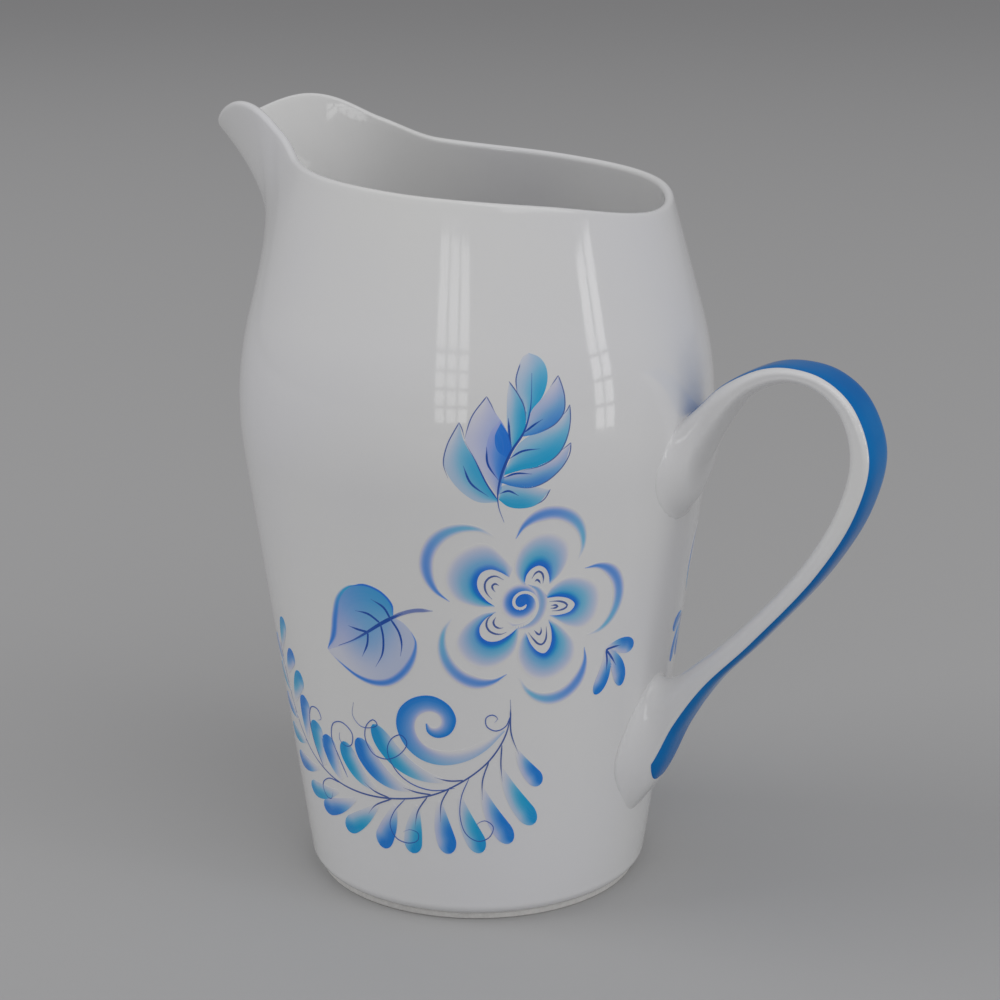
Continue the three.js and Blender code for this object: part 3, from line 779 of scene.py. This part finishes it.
# Petals: places along a petal where it is deepest and most teal, edge of its white lobe, outer edge of its
# cloud of colour, and two arcs in the lobe
PETALS = [
    (0.25, 0.15,
     [(35.3, 90.2), (33, 92), (31.2, 94.6), (30.9, 97), (32, 99.2), (34.2, 100), (36.6, 99.2),
      (38.8, 97.8)],
     [(35.2, 90), (30, 90.2), (25, 92.3), (22.8, 97), (24.3, 102.2), (28.4, 105.8), (33.4, 106.6),
      (39.8, 100.4)],
     [(37.4, 97.2), (35.5, 98.2), (34, 97.9), (32.9, 96.6), (32.8, 95), (33.4, 93.5), (34.6, 92.1)],
     [(36.3, 95.7), (35.3, 96.2), (34.6, 95.6), (34.8, 94.8), (35.4, 94)]),
    (0.4, 0.35,
     [(42.7, 96), (43.2, 98.2), (44.5, 99.8), (46.2, 100.4), (47.8, 99.6), (48.8, 97.8), (49.2, 95.3)],
     [(42, 95.6), (40.2, 99), (40.2, 102.4), (41.8, 106), (45.2, 108.6), (49.4, 108.8), (53.2, 106.2),
      (54, 102.4), (52.6, 98.6), (49.8, 95.6)],
     [(44.5, 97.1), (45.3, 98.4), (46.2, 98.9), (47.1, 98.3), (47.5, 97), (47.4, 95.6)],
     [(45.3, 96.3), (45.9, 96.7), (46.4, 96.3), (46.8, 95.6)]),
    (0.25, 0.5,
     [(48.2, 91.6), (52, 91.6), (55, 90.6), (56.5, 89), (55.5, 87.4), (52.6, 86.7), (49.6, 86.8)],
     [(48.2, 91.9), (50, 94.6), (54, 96.6), (59, 95.8), (62.9, 93), (64, 89), (63, 84.6), (60, 82.4),
      (56, 82.9), (50.2, 86.4)],
     [(49.4, 90.6), (52, 90.4), (53.8, 89.7), (54.4, 88.9), (53.8, 88.3), (51.8, 87.9), (50.2, 88)],
     [(49.9, 89.5), (51.3, 89.4), (51.7, 89), (51, 88.7), (49.8, 88.7)]),
    (0.65, 0.8,
     [(43.6, 82.4), (45, 79.5), (47, 77.3), (48.8, 76.7), (50, 77.8), (50.6, 80), (50.3, 83), (49.4, 85.6)],
     [(43.2, 83), (41.8, 79.6), (41.6, 75.4), (44, 71.3), (48, 69.3), (53, 70), (57.2, 73.4), (57.5, 78),
      (54, 82.6), (49.7, 85.9)],
     [(44.2, 82.7), (45.6, 80.8), (47, 79.4), (48.1, 79.2), (48.9, 80.2), (49.1, 82), (48.9, 83.9)],
     [(45.7, 83.2), (46.6, 82.2), (47.2, 81.9), (47.6, 82.7), (47.5, 83.9)]),
    (0.7, 0.85,
     [(35.6, 88.6), (33, 86.9), (31.5, 84.6), (31.8, 82.3), (33.5, 80.9), (36, 80.8), (38.6, 82),
      (41.4, 84.2)],
     [(35.4, 88.9), (31.4, 88), (26.8, 84.2), (25.2, 80), (27.3, 75.8), (32, 73.4), (37, 74.4),
      (40.6, 77.6), (41.9, 84.2)],
     [(35.1, 88.4), (33.6, 86.9), (33.2, 85.2), (33.9, 83.7), (35.5, 82.8), (37.2, 82.7), (38.4, 83.2)],
     [(35.6, 87.3), (35, 86), (35.4, 84.9), (36.5, 84.3), (37.6, 84.4)]),
]
# Petal edges: direction and distance of a circle's middle from the flower's, radius, start and end on it
PETAL_EDGES = [
    (144, 16.6, 10.25, 99, -92), (65, 15.75, 8.9, 97, -94), (-4.5, 18.8, 9.3, 108, -84),
    (-61.5, 19.6, 9.65, 81, -100), (228, 14.75, 10.5, 81, -92),
]
EYE_SWIRL = [
    (43.6, 95.6), (46.1, 94.1), (47.4, 91.2), (47, 88), (45.3, 85.6), (42.8, 84.6), (40.2, 84.9),
    (38.6, 86.2),
]


def petal_wash(deep_at, teal_at, lobe, cloud):
    """Colour that is deepest round a petal's white lobe, and fades outwards through teal into violet."""
    def bump(along, place, reach=0.3):
        return np.exp(-(((along - place) / reach) ** 2))

    def shade(along, across):
        near = bump(along, deep_at)
        deep = (0.14 + 0.25 * near) * (1 - ramp(across, 0.05, 0.24 + 0.12 * near))
        wide = (0.66 + 0.2 * near) * (1 - across) ** 0.8 * ramp(1 - across, -0.1, 0.2)
        return (deep + wide) * ramp(along, -0.05, 0.07) * ramp(1 - along, -0.05, 0.09)

    def turning(along, across):
        outwards = ramp(across, 0.06, 0.28) * (1 - 0.5 * ramp(across, 0.55, 1))
        return (0.6 + 0.4 * bump(along, teal_at)) * outwards

    return patch(lobe, cloud, "blue", shade, "teal", turning, columns=20, steps=56)


def petal_edge(direction, distance, radius, start, end):
    """The crescent round a petal, on a circle whose middle lies at a distance from the flower's."""
    middle = round_about(FLOWER_CENTRE, distance, direction)
    points = round_about(middle, radius, direction + np.linspace(start, end, 9))
    return crescent(points, 3.9, (0.72, 0.5), "blue", ending=0.5, tail="teal")


def flower():
    strokes = [petal_wash(*petal[:4]) for petal in PETALS]
    for *_, outer_arc, inner_arc in PETALS:
        strokes.append(line(outer_arc, 0.5, 0.95, fade=(0.35, 0.35)))
        strokes.append(line(inner_arc, 0.5, 0.95, fade=(0.3, 0.4)))
    strokes += [petal_edge(*edge) for edge in PETAL_EDGES]
    return strokes + flower_eye()


def flower_eye():
    """A round blue eye with a white spiral in it and a loose swirl round it."""
    def shade(along, across):
        return (0.95 - 0.4 * ramp(across, 0.4, 0.8)) * (1 - ramp(across, 0.66, 1))

    around = np.linspace(0, 360, 13)
    edges = (round_about(EYE_CENTRE, radius, around) for radius in EYE_RADII)
    strokes = [patch(*edges, "blue", shade, columns=18, steps=60)]
    strokes.append(crescent(EYE_SWIRL, 3.0, (0.5, 0.34), "sea", ending=0.5))
    share = shares(24)
    radius = SPIRAL_RADIUS + SPIRAL_GROWTH * share**SPIRAL_POWER
    spiral = round_about(FLOWER_CENTRE, radius, SPIRAL_START + SPIRAL_TURN * share)
    strokes.append(line(spiral, 0.8, 1.0, fade=(0.04, 0.1), tint="white"))
    return strokes


HEART_TIP = (-13.8, 73.4)
HEART_NOTCH = (8.8, 86.2)
HEART_UPPER = [
    HEART_TIP, (-11, 78), (-9.3, 84), (-7.4, 89), (-3.8, 92.4), (1, 93.7), (5.8, 92.4), (8.6, 89.4),
    HEART_NOTCH,
]
HEART_LOWER = [
    HEART_TIP, (-9, 70.4), (-4, 68.1), (1.2, 67.2), (6.2, 68.1), (10.6, 71.2), (13.6, 75.6), (14.6, 80),
    (13.5, 82.6), (11.5, 84.8), HEART_NOTCH,
]
HEART_RIB = [HEART_TIP, (-8.8, 75.7), (-3.6, 78.2), (0.6, 80.8), (4.6, 83.6), HEART_NOTCH]
HEART_STALK = [(19.6, 88.7), (15, 88.5), (11, 87.2), (8, 85.6)]
HEART_RIB_LINE = [(11.5, 87.4), (8, 85.6), (4.4, 83.4), (0.4, 80.7), (-4, 78), (-9.5, 75.4)]
HEART_VEINS = [
    [(8, 85.6), (6.3, 88.4), (2.8, 90.2)], [(5, 84), (1.6, 86), (-2.4, 86.3)],
    [(1, 81), (-2, 81.2), (-5.2, 81.7)], [(8, 85.6), (10.1, 82.2), (10.7, 79), (10.1, 75.6)],
    [(5, 84), (5.5, 80), (4.8, 75.6), (2.4, 71.7)], [(1, 81), (0.4, 77.6), (-1.6, 73.9)],
]


def heart_leaf():
    def upper_shade(along, across):
        return (0.34 + 0.44 * ramp(along, 0.15, 0.8)) * (1 - 0.3 * ramp(across, 0, 1))

    def upper_turning(along, across):
        return 0.65 * ramp(along, 0.3, 0.8)

    def lower_shade(along, across):
        return 0.12 + (0.12 + 0.26 * ramp(across, 0.2, 1)) * ramp(along, 0.1, 0.6)

    def lower_turning(along, across):
        return 0.4

    strokes = [
        patch(HEART_UPPER, HEART_RIB, "blue", upper_shade, "teal", upper_turning, columns=18, steps=48),
        patch(HEART_LOWER, HEART_RIB, "blue", lower_shade, "teal", lower_turning, columns=18, steps=48),
        crescent([(-13.9, 73.6), *HEART_UPPER[1:6]], 2.6, (0.85, 0.6), "blue", swell=0.25, tail="teal"),
        line(HEART_UPPER[4:], 0.6, 0.95, fade=(0.3, 0.2), soft=0.4, tint="blue"),
        crescent([*HEART_LOWER[8:0:-1], (-13.7, 73)], 2.6, (0.65, 0.85), "blue", swell=0.3),
        line(HEART_STALK, 1.0, 0.55, fade=(0.25, 0.1), tint="ink"),
        line(HEART_RIB_LINE, 1.0, 1.0, fade=(0.2, 0.8), tint="ink"),
    ]
    strokes += [line(points, 0.6, 1.0, fade=(0.1, 0.5), tint="ink") for points in HEART_VEINS]
    return strokes


CURL_OUTER = [
    (16.2, 57.5), (16.5, 55.2), (19, 53.8), (23, 55), (24.9, 58.9), (23.2, 62.9), (18.5, 65.4), (13, 64.5),
    (8.6, 60.9), (7.3, 56), (9.3, 51), (13.8, 47.4), (20, 46.1), (27, 47.3), (33, 50.4), (38.6, 55.8),
]
CURL_INNER = [
    (16.7, 57.7), (17.9, 56.6), (19.4, 56.8), (20.5, 57.9), (20.4, 59.5), (19.2, 60.7), (17.2, 61),
    (15.2, 60.2), (13.5, 58.5), (12.9, 55.9), (13.8, 53.3), (16.2, 51.1), (20.4, 50.2), (26.3, 50.8),
    (32, 52.9), (38, 56.4),
]


def great_curl():
    def shade(along, across):
        tail = ramp(along, 0.4, 0.7)
        edge = ramp(1 - across, -0.05, 0.15 + 0.45 * tail)
        return (1.07 - across) * edge * (1 - 0.64 * ramp(along, 0.4, 0.85))

    def turning(along, across):
        tail = ramp(along, 0.5, 0.75)
        return (0.25 + 0.4 * tail) * (1 - (1 - tail) * ramp(across, 0.2, 0.7))

    return [patch(CURL_OUTER, CURL_INNER, "blue", shade, "teal", turning, columns=16, steps=110)]


SPRIG_STEM = [
    (39.9, 64.6), (40, 60), (38.5, 54), (34.2, 47.6), (27, 42), (17, 37.2), (5.5, 34.8), (-6, 34),
    (-16.4, 34.8), (-23.3, 36.6), (-30.5, 40), (-36.3, 45.2), (-40.5, 51.5), (-43.2, 59), (-44.6, 67),
]
# Dabs of the sprig, blue and teal in turn: root, tip, width, bend to the left
SPRIG_DROPS = [
    ((42.2, 50.2), (50.1, 40), 4.6, -0.9), ((37.9, 45), (48.9, 28.7), 5.6, -1.3),
    ((32.2, 39.6), (41.7, 23.8), 5.6, -1.3), ((25.6, 37.2), (32.5, 21.2), 5.8, -1.2),
    ((19.4, 35.6), (22.3, 20.5), 6.0, -0.9), ((12.2, 33.6), (9.6, 19.4), 6.0, -0.4),
    ((4.6, 32.8), (-2.2, 19.7), 6.2, 0.6), ((-1.5, 31.8), (-16.6, 21.9), 5.4, 0.8),
    ((-10.3, 31.6), (-28, 24.9), 5.0, 0.9), ((-18, 31.8), (-36, 28.4), 4.8, 0.8),
    ((-27.6, 36), (-44.4, 35), 4.6, 0.8), ((-33.6, 42), (-47.8, 42.4), 4.4, 0.6),
    ((-37.6, 47.6), (-49.4, 51), 4.2, 0.5), ((-40.6, 54.2), (-50.2, 59.8), 4.0, 0.4),
    ((-42.8, 60.8), (-50.4, 68), 3.8, 0.3), ((20.5, 41.6), (-0.4, 55.2), 6.0, 3.4),
    ((9.7, 38.1), (-6.5, 50.2), 6.6, 2.9), ((-1.7, 36.3), (-12.6, 47.8), 6.0, 2.0),
    ((-15.2, 36.1), (-19.8, 47.9), 6.4, 1.2), ((-23, 38.3), (-25.3, 50.4), 6.4, 0.8),
    ((-31.8, 43.1), (-29.8, 56), 6.0, 0.5), ((-37.8, 52.4), (-29.8, 62), 5.4, 0.4),
    ((-40.6, 59.8), (-33.2, 67.2), 4.8, 0.3), ((-42.8, 65.8), (-36.6, 75.8), 4.6, 0.2),
]
SPRIG_STALKS = [
    [(40, 62), (40.4, 55), (42.8, 49)], [(37.8, 52), (37.6, 46.5), (38.1, 41.5)],
    [(34.2, 47.6), (32.3, 42), (32.2, 36.4)], [(22.6, 39.9), (19.8, 35), (19.3, 29.5)],
    [(15.6, 36.7), (12.2, 32), (10.9, 27)], [(4, 34.6), (-2.6, 31.4), (-5.6, 28.4)],
    [(27, 42), (22.4, 41.7), (18, 42.4)], [(17, 37.3), (12, 37.6), (8, 38.4)],
    [(3, 34.6), (-2.4, 35.7), (-6, 37.6)],
]
SPRIG_TENDRILS = [
    [(40, 60), (38.8, 57.2), (36, 56), (33.4, 57.4), (33.3, 59.8), (35.1, 60.5), (36.5, 59.4),
     (35.6, 58.4)],
    [(28.5, 43), (25.9, 37), (25.5, 31), (27.2, 26.4), (31, 24.3), (34.5, 25.5), (35.6, 28.4), (33, 30.3),
     (30.4, 29), (31.7, 27.6)],
    [(8.6, 35.4), (4, 30.6), (2.3, 26.6), (4, 23.2), (8, 22.2), (11.5, 23.4), (11.9, 25.5), (9.2, 26.3),
     (6.9, 25.4)],
    [(24, 39.6), (17, 38.6), (10, 40.2), (5.6, 43.6), (3.7, 48.4), (5.4, 52), (8.6, 53.5), (10.2, 51.5),
     (8, 48.2), (3.4, 45.9), (-1.2, 46.6), (-3.6, 50.4), (-2.8, 54.3), (0, 56.5), (1.1, 55.3), (-1.4, 54),
     (-5, 53.9), (-7.4, 56.4), (-6.5, 60.2)],
    [(-12.6, 37.4), (-15.4, 42.6), (-17.6, 47.6), (-16.2, 51.9), (-12, 53.3), (-8.5, 51), (-9.2, 47.6),
     (-11.6, 46.7), (-14, 48), (-13.7, 50)],
    [(-24.4, 37.4), (-27.8, 43.6), (-28.6, 49.8), (-26.4, 54), (-22.8, 54.2), (-21.7, 51.9), (-23.8, 50.9)],
    [(-16.4, 34.8), (-22.2, 34.6), (-26.5, 31.6), (-25.4, 28.8), (-22.6, 28.5), (-21, 31)],
]


def sprig():
    strokes = [line(SPRIG_STEM, 0.44, 0.95, fade=(0.1, 0.5))]
    strokes += [drop(*dab, ("blue", "teal")[number % 2]) for number, dab in enumerate(SPRIG_DROPS)]
    strokes += [line(points, 0.4, 0.95, fade=(0.1, 0.5)) for points in SPRIG_STALKS]
    strokes += [line(points, 0.28, 0.8, fade=(0.08, 0.2), tint="ink") for points in SPRIG_TENDRILS]
    return strokes


BUD_JOINT = (67.7, 74.8)
# Dabs of the bud: tip, width, bend to the left
BUD_DROPS = [((65.2, 62.9), 4.4, 1.6), ((74.9, 63.3), 4.6, 1.2), ((78.1, 73.4), 4.4, 0.8)]
BUD_STALKS = [
    [BUD_JOINT, (68.5, 71.5), (68.6, 68.6)], [BUD_JOINT, (70, 72.2), (72, 69.6)],
    [BUD_JOINT, (70.2, 75), (73, 75)],
]


def bud():
    strokes = [drop(BUD_JOINT, tip, width, bend, "blue", full=0.7) for tip, width, bend in BUD_DROPS]
    strokes += [line(points, 0.6, 0.9, fade=(0.05, 0.5), tint="ink") for points in BUD_STALKS]
    return strokes


# Laying the paint on the body

def pigment(tint, strength):
    stops = np.array(PIGMENTS[tint])
    return np.stack([np.interp(strength, PIGMENT_STRENGTHS, stops[:, channel]) for channel in range(3)], -1)


def blank_canvas():
    """The paint so far, as colour and cover over the places of the painting."""
    columns, rows = (round((high - low) / CANVAS_STEP) + 1 for low, high in zip(CANVAS_LOW, CANVAS_HIGH))
    return np.zeros((columns, rows, 4))


def refined(grid, times):
    """A grid with more rows and columns, evenly between the given ones."""
    for _ in range(2):
        place = np.linspace(0, len(grid) - 1, (len(grid) - 1) * times + 1)
        index = np.minimum(place.astype(int), len(grid) - 2)
        share = (place - index).reshape(-1, *[1] * (grid.ndim - 1))
        grid = np.swapaxes(grid[index] * (1 - share) + grid[index + 1] * share, 0, 1)
    return grid


def painted_over(canvas, grid, strength, share, tints):
    """Where a stroke's points lie on the canvas, and their colour and cover with what shows through."""
    index = np.rint((grid - CANVAS_LOW) / CANVAS_STEP).astype(int)
    index = (index[..., 0], index[..., 1])
    under = canvas[index]
    first, second = (pigment(tint, strength) for tint in tints)
    own = first + (second - first) * share[..., None]
    cover = (1 - (1 - strength) ** 2)[..., None]
    below = under[..., 3:] * (1 - cover)
    colour = (own * cover + under[..., :3] * below) / np.maximum(cover + below, NO_COVER)
    return index, np.concatenate([colour, cover + below], -1)


def lay_stroke(canvas, film, fineness=6):
    """Paints a stroke on the canvas and keeps the colours of its points."""
    parts = [film[part] for part in ("grid", "strength", "share")]
    film["paint"] = painted_over(canvas, *parts, film["tints"])[1]
    index, colours = painted_over(canvas, *(refined(part, fineness) for part in parts), film["tints"])
    canvas[index] = colours


def add_attribute(mesh, name, kind, field, values):
    layer = mesh.attributes.new(name, kind, "POINT")
    layer.data.foreach_set(field, np.concatenate(values).astype(np.float32).ravel())


def paint_motif(name, strokes, side, first_layer, material):
    """Lays a motif's strokes on one side of the body, as thin closed films sunk into the glaze."""
    vertices, faces, paint, places = [], [], [], []
    count = 0
    for number, film in enumerate(strokes, first_layer):
        grid = film["grid"]
        angle = 90 + np.degrees(grid[..., 0] / PAINT_RADIUS)
        height = grid[..., 1]
        if side == "far":
            angle, height = angle + FAR_TURN, height - FAR_DROP
        else:
            angle = -angle
        surface = outer_point(angle, height)
        normal = out_direction(angle, height)
        top = surface + normal * (PAINT_FILM + number * PAINT_LAYER)
        shell, shell_faces = closed_shell(top, surface - normal * PAINT_SINK)
        vertices.append(shell)
        faces += [tuple(count + corner for corner in face) for face in shell_faces]
        count += len(shell)
        along = lengths_along(grid[:, grid.shape[1] // 2])[:, None]
        across = np.linalg.norm(grid - grid[:, :1], axis=-1)
        place = np.stack(np.broadcast_arrays(along, across, number * STREAK_SHIFT), -1)
        # Once for the film's top and once for its underside
        paint += [film["paint"].reshape(-1, 4)] * 2
        places += [place.reshape(-1, 3)] * 2
    mesh = new_mesh(name, np.concatenate(vertices), faces)
    add_attribute(mesh, "paint", "FLOAT_COLOR", "color", paint)
    add_attribute(mesh, "brush_place", "FLOAT_VECTOR", "vector", places)
    add_piece(mesh, material, sharp_angle=PAINT_SHARP_ANGLE, weld=False)


def ornament(material):
    motifs = {
        "painted_leaf": serrated_leaf(),
        "painted_flower": flower(),
        "painted_heart_leaf": heart_leaf(),
        "painted_curl": great_curl(),
        "painted_sprig": sprig(),
        "painted_bud": bud(),
    }
    canvas = blank_canvas()
    layer = 0
    for name, strokes in motifs.items():
        for film in strokes:
            lay_stroke(canvas, film)
        for side in ("near", "far"):
            paint_motif(name + "_" + side, strokes, side, layer, material)
        layer += len(strokes)


# Studio

CAMERA_PLACE = (266.5, -468.3, 248.4)  # from the jug's axis
CAMERA_TARGET = (5.27, 2.92, 101.2)
CAMERA_LENS = 75
FLOOR_SIZE = 40000

# Softboxes: place from the jug's axis, side, strength in watts and whether the glaze mirrors them
SOFTBOXES = {
    "key_softbox": ((2480, -900, 3400), 3600, 40, True),
    "fill_softbox": ((-2770, -1800, 2600), 2400, 31, False),
}
# Windows that show in the glaze: place from the jug's axis, a pane's width and height, columns and rows of
# panes and brightness
WINDOWS = {
    "front_window": ((270, -830, 300), 66, 75, 3, 5, 2.0),
    "right_window": ((880, -10, 230), 70, 100, 2, 4, 2.6),
}
PANE_GAP = 16
LAMP_TARGET = (0, 0, 100)
SKY_COLOUR = (0.985, 0.98, 1.0, 1)
SKY_STRENGTH = 0.37
BACKDROP_STRENGTH = 0.24  # what the camera and the glaze see of the sky


def aim(thing, place, target):
    """Sets a thing at a place, facing a target, both counted from the jug's axis."""
    place, target = (Vector((AXIS_X + spot[0], *spot[1:])) for spot in (place, target))
    thing.location = place * MM
    thing.rotation_mode = "QUATERNION"
    thing.rotation_quaternion = (target - place).to_track_quat("-Z", "Y")


def area_lamp(name, place, width, height, watts, shift=(0, 0)):
    """A rectangular lamp that faces the jug, shifted sideways and up in its own plane."""
    data = bpy.data.lights.new(name, "AREA")
    data.shape = "RECTANGLE"
    data.size, data.size_y = width * MM, height * MM
    data.energy = watts
    lamp = add_object(name, data)
    aim(lamp, place, LAMP_TARGET)
    lamp.location += lamp.rotation_quaternion @ Vector((shift[0] * MM, shift[1] * MM, 0))
    return lamp


def window(name, place, width, height, columns, rows, brightness):
    watts = math.pi * brightness * width * height * MM**2
    for column in range(columns):
        for row in range(rows):
            sideways = (column - (columns - 1) / 2) * (width + PANE_GAP)
            upwards = (row - (rows - 1) / 2) * (height + PANE_GAP)
            area_lamp(f"{name}_{column}_{row}", place, width, height, watts, (sideways, upwards))


def sky():
    """An even light all round, which shows itself as a darker backdrop."""
    world = bpy.data.worlds.new("studio")
    world.use_nodes = True
    tree = world.node_tree
    light = tree.nodes["Background"]
    backdrop = add_node(tree, "Background", {})
    for node, strength in ((light, SKY_STRENGTH), (backdrop, BACKDROP_STRENGTH)):
        connect(tree, node, {"Color": SKY_COLOUR, "Strength": strength})
    path = add_node(tree, "LightPath", {}).outputs
    seen = path["Is Camera Ray"]
    for ray in ("Is Glossy Ray", "Is Transmission Ray"):
        seen = add_node(tree, "Math", {0: seen, 1: path[ray]}, operation="MAXIMUM").outputs[0]
    mix = add_node(tree, "MixShader", {0: seen, 1: light.outputs[0], 2: backdrop.outputs[0]})
    tree.links.new(mix.outputs[0], tree.nodes["World Output"].inputs["Surface"])
    return world


def view():
    camera = add_object("camera", bpy.data.cameras.new("camera"))
    camera.data.lens = CAMERA_LENS
    aim(camera, CAMERA_PLACE, CAMERA_TARGET)
    return camera


def floor():
    """A matt floor, which mirrors no lamp."""
    half = FLOOR_SIZE / 2
    corners = [(-half, -half, 0), (half, -half, 0), (half, half, 0), (-half, half, 0)]
    mesh = new_mesh("floor", corners, [(0, 1, 2, 3)])
    material, tree, shader = new_material("floor")
    connect(tree, shader, {"Base Color": FLOOR_COLOUR, "Roughness": 1.0, "Specular IOR Level": 0.0})
    mesh.materials.append(material)
    add_object("floor", mesh)


def studio():
    scene = bpy.context.scene
    scene.view_settings.view_transform = "Standard"
    scene.camera = view()
    for name, (place, side, watts, mirrored) in SOFTBOXES.items():
        area_lamp(name, place, side, side, watts).visible_glossy = mirrored
    for name, opening in WINDOWS.items():
        window(name, *opening)
    scene.world = sky()
    floor()


studio()
porcelain = porcelain_material()
jug_body(porcelain)
foot_ring(biscuit_material())
handle(porcelain)
handle_band(enamel_material())
ornament(painted_material())
